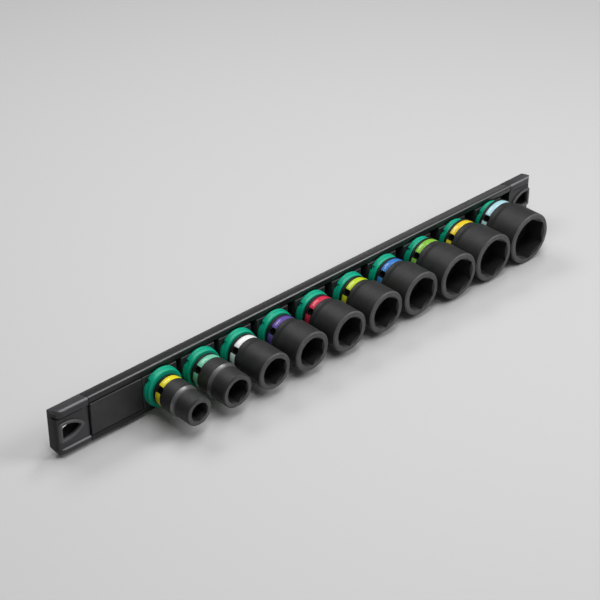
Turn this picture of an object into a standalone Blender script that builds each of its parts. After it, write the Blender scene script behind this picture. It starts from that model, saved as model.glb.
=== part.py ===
"""Magnetic wall rail that carries ten impact sockets on twist-lock clips.

The back of the rail lies on the wall, the plane y = 0, and its middle is the origin. +X runs
along the rail towards the large sockets, the sockets point to -Y and +Z is up.

Every piece is modelled as if the wall were a table: local X runs along the rail, local Y is
up the wall and local Z is the height off the wall. An empty then stands the work up, so a
local angle is the angle seen from in front. Each socket station is an empty on the turning
axis of its twist post. All lengths are in metres.
"""
import math

import bmesh
import bpy
from mathutils import Matrix, Vector

MM = 0.001

# Fits and cutting
FIT = 0.3 * MM
OVERRUN = 2.0 * MM
WELD = 0.0005 * MM
ROUND_STEPS = 20
SMALL_STEPS = 10
FILLET_STEPS = 3
SMOOTH_ANGLE = math.radians(40)

# Rail section: a floor on the wall, two lips over a T slot, and a waist that narrows to the wall
RAIL_FLOOR = 3.4 * MM
RAIL_LIP_THICKNESS = 3.2 * MM
RAIL_LIP_HEIGHT = 4.5 * MM
RAIL_BACK_TAPER = 2.6 * MM
RAIL_RIDGE_RADIUS = 1.0 * MM
RAIL_MOUTH_CHAMFER = 1.0 * MM

# Clips and name plate, which share one T section
CLIP_FACE_HEIGHT = 20.0 * MM
CLIP_FLANGE_REACH = 1.6 * MM
CLIP_FLANGE_THICKNESS = 1.7 * MM
CLIP_PROUD = 0.5 * MM
CLIP_EDGE = 0.5 * MM
CLIP_WIDTH = 23.4 * MM
NAME_PLATE_WIDTH = 34.0 * MM

# Places along the rail, from the left end cap to the right one
NAME_PLATE_GAP = 0.6 * MM
FIRST_CLIP_GAP = 0.4 * MM
CLIP_GAPS = [3.4 * MM, 3.4 * MM, 4.5 * MM, 5.6 * MM, 5.7 * MM, 5.8 * MM, 6.5 * MM, 7.5 * MM, 9.5 * MM]
SOCKET_GAP = 0.35 * MM
LAST_CLIP_GAP = 10.0 * MM

# End caps, each with two pegs and a hanging eye with convex sides and a raised rim
CAP_LENGTH = 20.4 * MM
CAP_CORNER_RADIUS = 3.0 * MM
CAP_PAD_DROP = 1.0 * MM
CAP_GROOVE_WIDTH = 0.8 * MM
CAP_GROOVE_DEPTH = 0.8 * MM
EYE_LENGTH = 12.0 * MM
EYE_HEIGHT = 9.1 * MM
EYE_SIDE_RADIUS = 14.3 * MM
EYE_SIDE_STEPS = 5
EYE_CORNER_RADIUS = 1.0 * MM
EYE_TIP_RADIUS = 0.8 * MM
EYE_END_WALL = 3.2 * MM
EYE_RIM_WIDTH = 2.0 * MM
EYE_RIM_HEIGHT = 0.7 * MM
PEG_RADIUS = 0.65 * MM
PEG_LENGTH = 8.0 * MM

# Magnets in the back of the rail
MAGNET_COUNT = 4
MAGNET_LENGTH = 40.0 * MM
MAGNET_HEIGHT = 14.0 * MM
MAGNET_THICKNESS = 2.0 * MM

# Twist posts
FLANGE_RADIUS = 11.9 * MM
FLANGE_THICKNESS = 2.0 * MM
COLLAR_RADIUS = 11.5 * MM
COLLAR_THICKNESS = 4.3 * MM
COLLAR_EDGE = 0.5 * MM
NOTCH_WIDTH = 4.4 * MM
NOTCH_DEPTH = 1.8 * MM
NOTCH_ANGLE = math.radians(142)
STEM_RADIUS = 5.0 * MM
SNAP_HEAD_RADIUS = 6.4 * MM
SNAP_HEAD_THICKNESS = 1.2 * MM
POST_LENGTH = 9.4 * MM
POST_TIP_EDGE = 1.2 * MM
BALL_RADIUS = 1.25 * MM
BALL_PROUD = 0.15 * MM

# Sockets, smallest first
HEX_SIZES = [10 * MM, 13 * MM, 15 * MM, 16 * MM, 17 * MM, 18 * MM, 19 * MM, 21 * MM, 22 * MM, 24 * MM]
CORNER_WALLS = [2.8 * MM, 2.6 * MM, 2.6 * MM, 3.0 * MM, 2.95 * MM,
                2.85 * MM, 2.9 * MM, 2.7 * MM, 2.7 * MM, 2.7 * MM]
DRIVE_DIAMETERS = [18.8 * MM, 20.4 * MM, 21.1 * MM, 21.6 * MM, 22.4 * MM,
                   22.6 * MM, 23.6 * MM, 26.0 * MM, 27.4 * MM, 29.6 * MM]
SHORT_SOCKET = 28.2 * MM
LONG_SOCKET = 30.2 * MM
LONG_FROM = 7
DRIVE_SQUARE = 9.7 * MM
DRIVE_DEPTH = 11.0 * MM
HEX_DEPTH_SHARE = 0.43
WEB_HOLE_RADIUS = 3.0 * MM
LEAD_IN_SHARE = 1.1
LEAD_IN_DEPTH = 1.3 * MM
FACE_EDGE = 0.8 * MM
BASE_EDGE = 0.8 * MM
STEP_DOWN_SHARE = 0.51
STEP_DEPTH = 0.8 * MM
FLARE_SHARE = 0.32
SHOULDER_LENGTH = 2.4 * MM
PIN_ANGLE = math.radians(145)
PIN_FROM_BASE = 4.7 * MM
PIN_RADIUS = 1.6 * MM
PIN_COUNTERBORE_RADIUS = 3.05 * MM
PIN_COUNTERBORE_DEPTH = 2.2 * MM

# Size rings, which sit in a groove of the drive end
RING_FROM_BASE = 2.1 * MM
RING_WIDTH = 3.9 * MM
RING_THICKNESS = 0.6 * MM

# Colours
RAIL_BLACK = (0.030, 0.031, 0.033)
CAP_GREY = (0.060, 0.056, 0.066)
CLIP_BLACK = (0.022, 0.021, 0.023)
POST_GREEN = (0.010, 0.410, 0.245)
SOCKET_BLACK = (0.030, 0.030, 0.031)
MAGNET_GREY = (0.300, 0.300, 0.310)
BALL_STEEL = (0.560, 0.570, 0.580)
RING_COLOURS = [(0.780, 0.720, 0.020), (0.230, 0.640, 0.450), (0.860, 0.870, 0.870), (0.090, 0.060, 0.360),
                (0.680, 0.030, 0.080), (0.520, 0.680, 0.020), (0.050, 0.240, 0.680), (0.250, 0.600, 0.060),
                (0.820, 0.650, 0.010), (0.560, 0.800, 0.880)]

# Heights off the wall
CHANNEL_DEPTH_UNDER_LIP = CLIP_FLANGE_THICKNESS + 2 * FIT
LIP_BACK = RAIL_FLOOR + CHANNEL_DEPTH_UNDER_LIP
RAIL_FRONT = LIP_BACK + RAIL_LIP_THICKNESS
CLIP_BACK = RAIL_FLOOR + FIT
CLIP_FRONT = RAIL_FRONT + CLIP_PROUD
COLLAR_BACK = CLIP_FRONT + FIT
COLLAR_FRONT = COLLAR_BACK + COLLAR_THICKNESS
SOCKET_BASE = COLLAR_FRONT + FIT
POST_TIP = COLLAR_FRONT + POST_LENGTH
PAD_FRONT = RAIL_FRONT - CAP_PAD_DROP
RIM_FRONT = PAD_FRONT + EYE_RIM_HEIGHT

# Half heights of the rail section
MOUTH_HALF = CLIP_FACE_HEIGHT / 2 + FIT
SLOT_HALF = CLIP_FACE_HEIGHT / 2 + CLIP_FLANGE_REACH + FIT
RIDGE_HALF = MOUTH_HALF + RAIL_LIP_HEIGHT
BACK_HALF = RIDGE_HALF - RAIL_BACK_TAPER

# Where an end cap's peg enters the lip
PEG_HEIGHT_OFF_WALL = (LIP_BACK + RAIL_FRONT) / 2
PEG_UP = (MOUTH_HALF + RIDGE_HALF) / 2


def body_diameters():
    """Outer diameters of the socket bodies: a hexagon across its corners, and the wall outside them."""
    across_corners = 2 / math.sqrt(3)
    return [size * across_corners + 2 * wall for size, wall in zip(HEX_SIZES, CORNER_WALLS)]


def places_along_rail():
    """Middle of the name plate, middles of the clips, and half the length between the end caps."""
    bodies = body_diameters()
    plate_middle = NAME_PLATE_GAP + NAME_PLATE_WIDTH / 2
    clips = [NAME_PLATE_GAP + NAME_PLATE_WIDTH + FIRST_CLIP_GAP + CLIP_WIDTH / 2]
    for gap, left, right in zip(CLIP_GAPS, bodies, bodies[1:]):
        pitch = max(CLIP_WIDTH + gap, (left + right) / 2 + SOCKET_GAP)
        clips.append(clips[-1] + pitch)
    half_length = (clips[-1] + CLIP_WIDTH / 2 + LAST_CLIP_GAP) / 2
    return plate_middle - half_length, [place - half_length for place in clips], half_length


def principled(name, colour, roughness, metallic=0.0):
    """A Principled BSDF material of one colour."""
    material = bpy.data.materials.new(name)
    material.use_nodes = True
    material.diffuse_color = (*colour, 1)
    shader = material.node_tree.nodes["Principled BSDF"]
    shader.inputs["Base Color"].default_value = (*colour, 1)
    shader.inputs["Roughness"].default_value = roughness
    shader.inputs["Metallic"].default_value = metallic
    return material


def add_empty(name, x, parent=None):
    """An empty that carries a station, or the whole rail where it has no parent."""
    empty = bpy.data.objects.new(name, None)
    empty.location.x = x
    empty.parent = parent
    if parent is None:
        empty.rotation_euler.x = math.radians(90)
    pieces.objects.link(empty)
    return empty


def add_piece(name, mesh, parent, material):
    """A named piece on a station."""
    piece = bpy.data.objects.new(name, mesh)
    piece.parent = parent
    mesh.materials.append(material)
    pieces.objects.link(piece)
    return piece


def add_cutter(name, mesh, parent):
    """A solid that only shapes another piece."""
    cutter = bpy.data.objects.new(name, mesh)
    cutter.parent = parent
    cutter.hide_render = True
    cutter.display_type = "WIRE"
    cutters.objects.link(cutter)
    return cutter


def shape_with(piece, cutter, operation):
    """Boolean of a piece with a cutter, kept as a modifier."""
    modifier = piece.modifiers.new(cutter.name, "BOOLEAN")
    modifier.operation = operation
    modifier.solver = "EXACT"
    modifier.object = cutter


def fillet_outline(corners, radii):
    """Closed outline through the corners, each rounded by its radius; zero keeps it sharp."""
    outline = []
    for index, (corner, radius) in enumerate(zip(corners, radii)):
        corner = Vector(corner)
        if radius == 0:
            outline.append(tuple(corner))
            continue
        before = (Vector(corners[index - 1]) - corner).normalized()
        after = (Vector(corners[(index + 1) % len(corners)]) - corner).normalized()
        half_angle = before.angle(after) / 2
        centre = corner + (before + after).normalized() * radius / math.sin(half_angle)
        first = corner + before * radius / math.tan(half_angle) - centre
        last = corner + after * radius / math.tan(half_angle) - centre
        turn = first.angle_signed(last)
        for step in range(FILLET_STEPS + 1):
            arm = Matrix.Rotation(-turn * step / FILLET_STEPS, 2) @ first
            outline.append(tuple(centre + arm))
    return outline


def plate_mesh(name, outlines, thickness, placing):
    """Closed solid of flat outlines, with holes inside the first, extruded about its middle plane."""
    curve = bpy.data.curves.new(name, "CURVE")
    curve.dimensions = "2D"
    curve.fill_mode = "BOTH"
    curve.extrude = thickness / 2
    for outline in outlines:
        spline = curve.splines.new("POLY")
        spline.points.add(len(outline) - 1)
        for point, (across, up) in zip(spline.points, outline):
            point.co = (across, up, 0, 1)
        spline.use_cyclic_u = True
    shape = bpy.data.objects.new(name, curve)
    cutters.objects.link(shape)
    evaluated = shape.evaluated_get(bpy.context.evaluated_depsgraph_get())
    mesh = bpy.data.meshes.new_from_object(evaluated)
    bpy.data.objects.remove(shape)
    bpy.data.curves.remove(curve)
    work = bmesh.new()
    work.from_mesh(mesh)
    bmesh.ops.remove_doubles(work, verts=work.verts, dist=WELD)
    work.transform(placing)
    bmesh.ops.recalc_face_normals(work, faces=work.faces)
    work.to_mesh(mesh)
    work.free()
    return mesh


def section_mesh(name, outlines, length):
    """A section of (height off the wall, height up the wall) points, extruded along the rail."""
    placing = Matrix(((0, 0, -1, 0), (0, 1, 0, 0), (1, 0, 0, 0), (0, 0, 0, 1)))
    return plate_mesh(name, outlines, length, placing)


def plan_mesh(name, outline, low, high):
    """An outline seen from in front, extruded off the wall from low to high."""
    return plate_mesh(name, [outline], high - low, Matrix.Translation((0, 0, (low + high) / 2)))


def prism_mesh(name, sides, low_radius, high_radius, low, high):
    """A prism, cone or cylinder on the station's axis, its first corner straight up."""
    mesh = bpy.data.meshes.new(name)
    work = bmesh.new()
    middle = Matrix.Translation((0, 0, (low + high) / 2))
    bmesh.ops.create_cone(work, cap_ends=True, segments=sides, radius1=low_radius, radius2=high_radius,
                          depth=high - low, matrix=middle)
    work.to_mesh(mesh)
    work.free()
    return mesh


def block_mesh(name, size, centre, turn=0.0):
    """A box of a size, moved to a centre and then turned about the station's axis."""
    mesh = bpy.data.meshes.new(name)
    work = bmesh.new()
    bmesh.ops.create_cube(work, size=1)
    bmesh.ops.scale(work, vec=size, verts=work.verts)
    bmesh.ops.translate(work, vec=centre, verts=work.verts)
    work.transform(Matrix.Rotation(turn, 4, "Z"))
    work.to_mesh(mesh)
    work.free()
    return mesh


def radial_rod_mesh(name, radius, inner, outer, height, angle):
    """A rod that lies across the station's axis, from inner to outer along the angle."""
    mesh = bpy.data.meshes.new(name)
    work = bmesh.new()
    lying = Matrix.Translation(((inner + outer) / 2, 0, height)) @ Matrix.Rotation(math.radians(90), 4, "Y")
    bmesh.ops.create_cone(work, cap_ends=True, segments=SMALL_STEPS, radius1=radius, radius2=radius,
                          depth=outer - inner, matrix=Matrix.Rotation(angle, 4, "Z") @ lying)
    work.to_mesh(mesh)
    work.free()
    return mesh


def turned_mesh(name, profile):
    """Profile of (radius, height) points, from the top down its outer side, for a Screw."""
    mesh = bpy.data.meshes.new(name)
    points = [(radius, 0, height) for radius, height in profile]
    edges = [(index, index + 1) for index in range(len(points) - 1)]
    mesh.from_pydata(points, edges, [])
    return mesh


def turn_on_axis(piece):
    """Screw modifier that turns the piece's profile about the station's axis."""
    screw = piece.modifiers.new("turned", "SCREW")
    screw.axis = "Z"
    screw.angle = math.radians(360)
    screw.steps = ROUND_STEPS
    screw.render_steps = ROUND_STEPS
    screw.use_merge_vertices = True
    screw.merge_threshold = WELD
    screw.use_smooth_shade = False


def mirrored(half):
    """A half section above the middle, and its mirror image below, as one closed outline."""
    return half + [(off_wall, -up) for off_wall, up in reversed(half)]


def lip_outline():
    """Outer side of the rail's upper half, from the wall to the middle of the lip's front."""
    corners = [(0, BACK_HALF), (RAIL_FRONT, RIDGE_HALF), (RAIL_FRONT, MOUTH_HALF + RAIL_MOUTH_CHAMFER)]
    return fillet_outline(corners, [0, RAIL_RIDGE_RADIUS, 0])


def make_rail(frame, half_length):
    """The extruded rail, with a bore for a cap's peg in each lip and pockets for the magnets."""
    slot = [(RAIL_FRONT - RAIL_MOUTH_CHAMFER, MOUTH_HALF), (LIP_BACK, MOUTH_HALF), (LIP_BACK, SLOT_HALF),
            (RAIL_FLOOR, SLOT_HALF)]
    outline = mirrored(lip_outline() + slot)
    bores = []
    for up in (PEG_UP, -PEG_UP):
        bores.append([(PEG_HEIGHT_OFF_WALL + (PEG_RADIUS + FIT) * math.cos(angle),
                       up + (PEG_RADIUS + FIT) * math.sin(angle))
                      for angle in (math.tau * step / SMALL_STEPS for step in range(SMALL_STEPS))])
    rail = add_piece("rail", section_mesh("rail", [outline] + bores, 2 * (half_length - FIT)), frame,
                     principled("rail_black", RAIL_BLACK, 0.42))
    for number, place in enumerate(magnet_places(half_length), 1):
        size = (MAGNET_LENGTH + 2 * FIT, MAGNET_HEIGHT + 2 * FIT, MAGNET_THICKNESS + FIT + OVERRUN)
        middle = (place, 0, (MAGNET_THICKNESS + FIT - OVERRUN) / 2)
        pocket = add_cutter(f"magnet_pocket_{number}", block_mesh("magnet_pocket", size, middle), frame)
        shape_with(rail, pocket, "DIFFERENCE")


def magnet_places(half_length):
    """Middles of the magnets, evenly spread over the rail."""
    step = 2 * half_length / MAGNET_COUNT
    return [(index + 0.5) * step - half_length for index in range(MAGNET_COUNT)]


def make_magnets(frame, half_length):
    """Bar magnets flush with the back of the rail."""
    finish = principled("magnet_grey", MAGNET_GREY, 0.45, 0.8)
    for number, place in enumerate(magnet_places(half_length), 1):
        mesh = block_mesh("magnet", (MAGNET_LENGTH, MAGNET_HEIGHT, MAGNET_THICKNESS),
                          (place, 0, MAGNET_THICKNESS / 2))
        add_piece(f"magnet_{number}", mesh, frame, finish)


def eye_outline(side, spread):
    """The hanging eye: blunt at the cap's end, pointed towards the sockets, widened by spread."""
    radius = EYE_SIDE_RADIUS + spread
    sink = EYE_SIDE_RADIUS - EYE_HEIGHT / 2
    tip = CAP_LENGTH - EYE_END_WALL - EYE_LENGTH
    crest = tip + math.sqrt(EYE_SIDE_RADIUS ** 2 - sink ** 2)
    blunt_turn = math.asin((CAP_LENGTH - EYE_END_WALL + spread - crest) / radius)
    tip_turn = -math.acos(sink / radius)
    turns = [blunt_turn + (tip_turn - blunt_turn) * step / EYE_SIDE_STEPS
             for step in range(EYE_SIDE_STEPS + 1)]
    half = [(side * (crest + radius * math.sin(turn)), radius * math.cos(turn) - sink) for turn in turns]
    inner = [0] * (EYE_SIDE_STEPS - 1)
    blunt_corner = EYE_CORNER_RADIUS + spread
    radii = [blunt_corner] + inner + [EYE_TIP_RADIUS + spread] + inner + [blunt_corner]
    return fillet_outline(half + [(x, -up) for x, up in reversed(half[:-1])], radii)


def make_end_cap(name, frame, half_length, side, finish):
    """An end cap: the rail's outer section with a sunk pad, two pegs and an eye; side is -1 or 1."""
    seat = add_empty(f"{name}_seat", side * half_length, frame)
    mesh = section_mesh(name, [mirrored(lip_outline() + [(PAD_FRONT, MOUTH_HALF)])], CAP_LENGTH)
    mesh.transform(Matrix.Translation((side * CAP_LENGTH / 2, 0, 0)))
    cap = add_piece(name, mesh, seat, finish)
    corners = [(-side * OVERRUN, RIDGE_HALF + OVERRUN), (side * CAP_LENGTH, RIDGE_HALF + OVERRUN),
               (side * CAP_LENGTH, -RIDGE_HALF - OVERRUN), (-side * OVERRUN, -RIDGE_HALF - OVERRUN)]
    round_end = CAP_CORNER_RADIUS + OVERRUN
    plan_outline = fillet_outline(corners, [0, round_end, round_end, 0])
    plan = plan_mesh("plan", plan_outline, -OVERRUN, RAIL_FRONT + OVERRUN)
    shape_with(cap, add_cutter(f"{name}_plan", plan, seat), "INTERSECT")
    rim = plan_mesh("eye_rim", eye_outline(side, EYE_RIM_WIDTH), RAIL_FLOOR, RIM_FRONT)
    shape_with(cap, add_cutter(f"{name}_rim", rim, seat), "UNION")
    eye = plan_mesh("eye", eye_outline(side, 0), -OVERRUN, RIM_FRONT + OVERRUN)
    shape_with(cap, add_cutter(f"{name}_eye", eye, seat), "DIFFERENCE")
    groove_size = (2 * CAP_GROOVE_DEPTH, CAP_GROOVE_WIDTH, PAD_FRONT - RAIL_FLOOR + OVERRUN)
    for label, up in (("upper", 1), ("lower", -1)):
        groove_up = up * (MOUTH_HALF - CAP_GROOVE_WIDTH / 2)
        groove_middle = (side * CAP_LENGTH, groove_up, RAIL_FLOOR + groove_size[2] / 2)
        groove = block_mesh("groove", groove_size, groove_middle)
        shape_with(cap, add_cutter(f"{name}_groove_{label}", groove, seat), "DIFFERENCE")
        peg = radial_rod_mesh("peg", PEG_RADIUS, -PEG_LENGTH, OVERRUN, PEG_HEIGHT_OFF_WALL, 0.0)
        peg.transform(Matrix.Scale(side, 4, (1, 0, 0)))
        if side < 0:
            peg.flip_normals()
        peg.transform(Matrix.Translation((0, up * PEG_UP, 0)))
        shape_with(cap, add_cutter(f"{name}_peg_{label}", peg, seat), "UNION")


def t_section():
    """Section that runs in the rail's T slot: a flange under the lips and a face between them."""
    face = CLIP_FACE_HEIGHT / 2
    flange = face + CLIP_FLANGE_REACH
    flange_front = CLIP_BACK + CLIP_FLANGE_THICKNESS
    return mirrored([(CLIP_BACK, flange), (flange_front, flange), (flange_front, face),
                     (CLIP_FRONT - CLIP_EDGE, face), (CLIP_FRONT, face - CLIP_EDGE)])


def make_name_plate(frame, place):
    """The bare plate beside the left end cap."""
    mesh = section_mesh("name_plate", [t_section()], NAME_PLATE_WIDTH)
    mesh.transform(Matrix.Translation((place, 0, 0)))
    add_piece("name_plate", mesh, frame, principled("plate_black", CLIP_BLACK, 0.45))


def make_clip(number, station, finish):
    """A sliding clip, bored for the stem of its twist post and recessed behind for the snap head."""
    clip = add_piece(f"clip_{number:02d}", section_mesh("clip", [t_section()], CLIP_WIDTH), station, finish)
    bore = STEM_RADIUS + FIT
    recess = SNAP_HEAD_RADIUS + FIT
    ledge = CLIP_BACK + FIT + SNAP_HEAD_THICKNESS + FIT
    profile = [(0, CLIP_FRONT + OVERRUN), (bore, CLIP_FRONT + OVERRUN), (bore, ledge), (recess, ledge),
               (recess, CLIP_BACK - OVERRUN), (0, CLIP_BACK - OVERRUN)]
    cutter = add_cutter(f"clip_bore_{number:02d}", turned_mesh("clip_bore", profile), station)
    turn_on_axis(cutter)
    shape_with(clip, cutter, "DIFFERENCE")


def make_twist_post(number, station, finish):
    """The green collar with its square post in front and its stem and snap head behind."""
    head_back = CLIP_BACK + FIT
    head_front = head_back + SNAP_HEAD_THICKNESS
    flange_front = COLLAR_BACK + FLANGE_THICKNESS
    profile = [(0, COLLAR_FRONT), (COLLAR_RADIUS - COLLAR_EDGE, COLLAR_FRONT),
               (COLLAR_RADIUS, COLLAR_FRONT - COLLAR_EDGE), (COLLAR_RADIUS, flange_front),
               (FLANGE_RADIUS, flange_front), (FLANGE_RADIUS, COLLAR_BACK), (STEM_RADIUS, COLLAR_BACK),
               (STEM_RADIUS, head_front), (SNAP_HEAD_RADIUS, head_front), (SNAP_HEAD_RADIUS, head_back),
               (0, head_back)]
    mesh = turned_mesh("twist_post", profile)
    post = add_piece(f"twist_post_{number:02d}", mesh, station, finish)
    turn_on_axis(post)

    side = DRIVE_SQUARE - 2 * FIT
    square = block_mesh("post_square", (side, side, POST_TIP - COLLAR_BACK),
                        (0, 0, (POST_TIP + COLLAR_BACK) / 2), PIN_ANGLE)
    bevel_tip(square)
    shape_with(post, add_cutter(f"post_square_{number:02d}", square, station), "UNION")

    notch_size = (2 * NOTCH_DEPTH, NOTCH_WIDTH, FLANGE_THICKNESS + OVERRUN)
    notch_middle = (FLANGE_RADIUS, 0, flange_front - notch_size[2] / 2)
    notch = block_mesh("notch", notch_size, notch_middle, NOTCH_ANGLE)
    shape_with(post, add_cutter(f"notch_{number:02d}", notch, station), "DIFFERENCE")

    floor = ball_centre_radius() - BALL_RADIUS - FIT
    pocket = radial_rod_mesh("ball_pocket", BALL_RADIUS + FIT, floor, side / 2 + OVERRUN,
                             SOCKET_BASE + PIN_FROM_BASE, PIN_ANGLE + math.pi)
    shape_with(post, add_cutter(f"ball_pocket_{number:02d}", pocket, station), "DIFFERENCE")


def bevel_tip(square):
    """Chamfer round the free end of a square post."""
    work = bmesh.new()
    work.from_mesh(square)
    top = max(vertex.co.z for vertex in work.verts)
    tip_edges = [edge for edge in work.edges
                 if all(math.isclose(vertex.co.z, top, abs_tol=WELD) for vertex in edge.verts)]
    bmesh.ops.bevel(work, geom=tip_edges, offset=POST_TIP_EDGE, segments=1, affect="EDGES")
    work.to_mesh(square)
    work.free()


def ball_centre_radius():
    """Distance of the lock ball's centre from the turning axis."""
    return DRIVE_SQUARE / 2 - FIT + BALL_PROUD - BALL_RADIUS


def make_lock_ball(number, station, finish):
    """The ball in the flank of the post, which clicks into the socket's pin hole."""
    mesh = bpy.data.meshes.new("lock_ball")
    angle = PIN_ANGLE + math.pi
    centre = Vector((math.cos(angle), math.sin(angle), 0)) * ball_centre_radius()
    centre.z = SOCKET_BASE + PIN_FROM_BASE
    work = bmesh.new()
    bmesh.ops.create_uvsphere(work, u_segments=8, v_segments=4, radius=BALL_RADIUS,
                              matrix=Matrix.Translation(centre))
    work.to_mesh(mesh)
    work.free()
    add_piece(f"lock_ball_{number:02d}", mesh, station, finish)


def socket_profile(body, drive, length):
    """Profile of a socket, down its outer side and back up the hole through its web."""
    front = SOCKET_BASE + length
    slimmer = body < drive
    shoulder = SOCKET_BASE + length * (STEP_DOWN_SHARE if slimmer else FLARE_SHARE)
    crest = max(drive, body + 2 * STEP_DEPTH) if slimmer else drive
    ring_back = SOCKET_BASE + RING_FROM_BASE
    groove = drive / 2 - RING_THICKNESS - FIT
    return [(WEB_HOLE_RADIUS, front), (body / 2 - FACE_EDGE, front), (body / 2, front - FACE_EDGE),
            (body / 2, shoulder + SHOULDER_LENGTH), (crest / 2, shoulder),
            (drive / 2, ring_back + RING_WIDTH + FIT), (groove, ring_back + RING_WIDTH + FIT),
            (groove, ring_back - FIT), (drive / 2, ring_back - FIT), (drive / 2, SOCKET_BASE + BASE_EDGE),
            (drive / 2 - BASE_EDGE, SOCKET_BASE), (WEB_HOLE_RADIUS, SOCKET_BASE), (WEB_HOLE_RADIUS, front)]


def make_socket(number, station, hex_size, body, drive, length, finish):
    """An impact socket with its hexagon mouth, square drive and pin holes."""
    socket = add_piece(f"socket_{number:02d}", turned_mesh("socket", socket_profile(body, drive, length)),
                       station, finish)
    turn_on_axis(socket)
    front = SOCKET_BASE + length
    hex_floor = front - length * HEX_DEPTH_SHARE
    square_floor = SOCKET_BASE + DRIVE_DEPTH
    corner = hex_size / math.sqrt(3)
    mouth = hex_size / 2 * LEAD_IN_SHARE
    slope = (mouth - hex_size / 2) / LEAD_IN_DEPTH
    hexagon = prism_mesh("hex", 6, corner, corner, hex_floor, front + OVERRUN)
    lead_in = prism_mesh("lead_in", ROUND_STEPS, hex_size / 2 - slope * FIT, mouth + slope * OVERRUN,
                         front - LEAD_IN_DEPTH - FIT, front + OVERRUN)
    square = block_mesh("square", (DRIVE_SQUARE, DRIVE_SQUARE, DRIVE_DEPTH + OVERRUN),
                        (0, 0, (square_floor + SOCKET_BASE - OVERRUN) / 2), PIN_ANGLE)
    pin = radial_rod_mesh("pin", PIN_RADIUS, -drive, drive, SOCKET_BASE + PIN_FROM_BASE, PIN_ANGLE)
    cuts = {"hex": hexagon, "lead_in": lead_in, "square": square, "pin": pin,
            "counterbore": counterbore_mesh(drive)}
    for label, mesh in cuts.items():
        shape_with(socket, add_cutter(f"{label}_{number:02d}", mesh, station), "DIFFERENCE")


def counterbore_mesh(drive):
    """Wide mouth of the pin hole, which also interrupts the size ring."""
    return radial_rod_mesh("counterbore", PIN_COUNTERBORE_RADIUS, drive / 2 - PIN_COUNTERBORE_DEPTH,
                           drive / 2 + OVERRUN, SOCKET_BASE + PIN_FROM_BASE, PIN_ANGLE)


def make_size_ring(number, station, drive, colour):
    """The coloured ring in the groove of the drive end, open at the pin hole."""
    back = SOCKET_BASE + RING_FROM_BASE
    front = back + RING_WIDTH
    outer = drive / 2
    inner = outer - RING_THICKNESS
    profile = [(outer, front), (outer, back), (inner, back), (inner, front), (outer, front)]
    ring = add_piece(f"size_ring_{number:02d}", turned_mesh("size_ring", profile), station,
                     principled(f"ring_colour_{number:02d}", colour, 0.35))
    turn_on_axis(ring)
    gap = add_cutter(f"ring_gap_{number:02d}", counterbore_mesh(drive), station)
    shape_with(ring, gap, "DIFFERENCE")


def apply_and_smooth():
    """Applies the modifiers of every piece, and shades its round faces smooth between sharp edges."""
    depsgraph = bpy.context.evaluated_depsgraph_get()
    solids = [piece for piece in pieces.objects if piece.type == "MESH"]
    meshes = [bpy.data.meshes.new_from_object(solid.evaluated_get(depsgraph)) for solid in solids]
    for solid, mesh in zip(solids, meshes):
        solid.modifiers.clear()
        solid.data = mesh
        mesh.name = solid.name
        mesh.shade_smooth()
        mesh.set_sharp_from_angle(angle=SMOOTH_ANGLE)


for leftover in list(bpy.data.objects):
    bpy.data.objects.remove(leftover)
pieces = bpy.data.collections.new("socket_rail")
cutters = bpy.data.collections.new("cutters")
bpy.context.scene.collection.children.link(pieces)
bpy.context.scene.collection.children.link(cutters)

plate_place, clip_places, rail_half = places_along_rail()
standing = add_empty("standing_frame", 0)
make_rail(standing, rail_half)
make_magnets(standing, rail_half)
cap_finish = principled("cap_grey", CAP_GREY, 0.5)
make_end_cap("end_cap_left", standing, rail_half, -1, cap_finish)
make_end_cap("end_cap_right", standing, rail_half, 1, cap_finish)
make_name_plate(standing, plate_place)

clip_finish = principled("clip_black", CLIP_BLACK, 0.45)
post_finish = principled("post_green", POST_GREEN, 0.4)
ball_finish = principled("ball_steel", BALL_STEEL, 0.25, 1.0)
socket_finish = principled("socket_black", SOCKET_BLACK, 0.4, 0.6)
for index, place in enumerate(clip_places):
    count = index + 1
    station = add_empty(f"station_{count:02d}", place, standing)
    make_clip(count, station, clip_finish)
    make_twist_post(count, station, post_finish)
    make_lock_ball(count, station, ball_finish)
    length = LONG_SOCKET if index >= LONG_FROM else SHORT_SOCKET
    make_socket(count, station, HEX_SIZES[index], body_diameters()[index], DRIVE_DIAMETERS[index], length,
                socket_finish)
    make_size_ring(count, station, DRIVE_DIAMETERS[index], RING_COLOURS[index])
apply_and_smooth()
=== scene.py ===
"""Looks of the socket rail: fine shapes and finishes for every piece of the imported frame.

Each piece is modelled as if the wall were a table, with X along the rail, Y up the wall and Z off
the wall, and is then stood up against the wall. All lengths are in metres.
"""
import math

import bmesh
import bpy
from mathutils import Matrix, Vector


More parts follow.
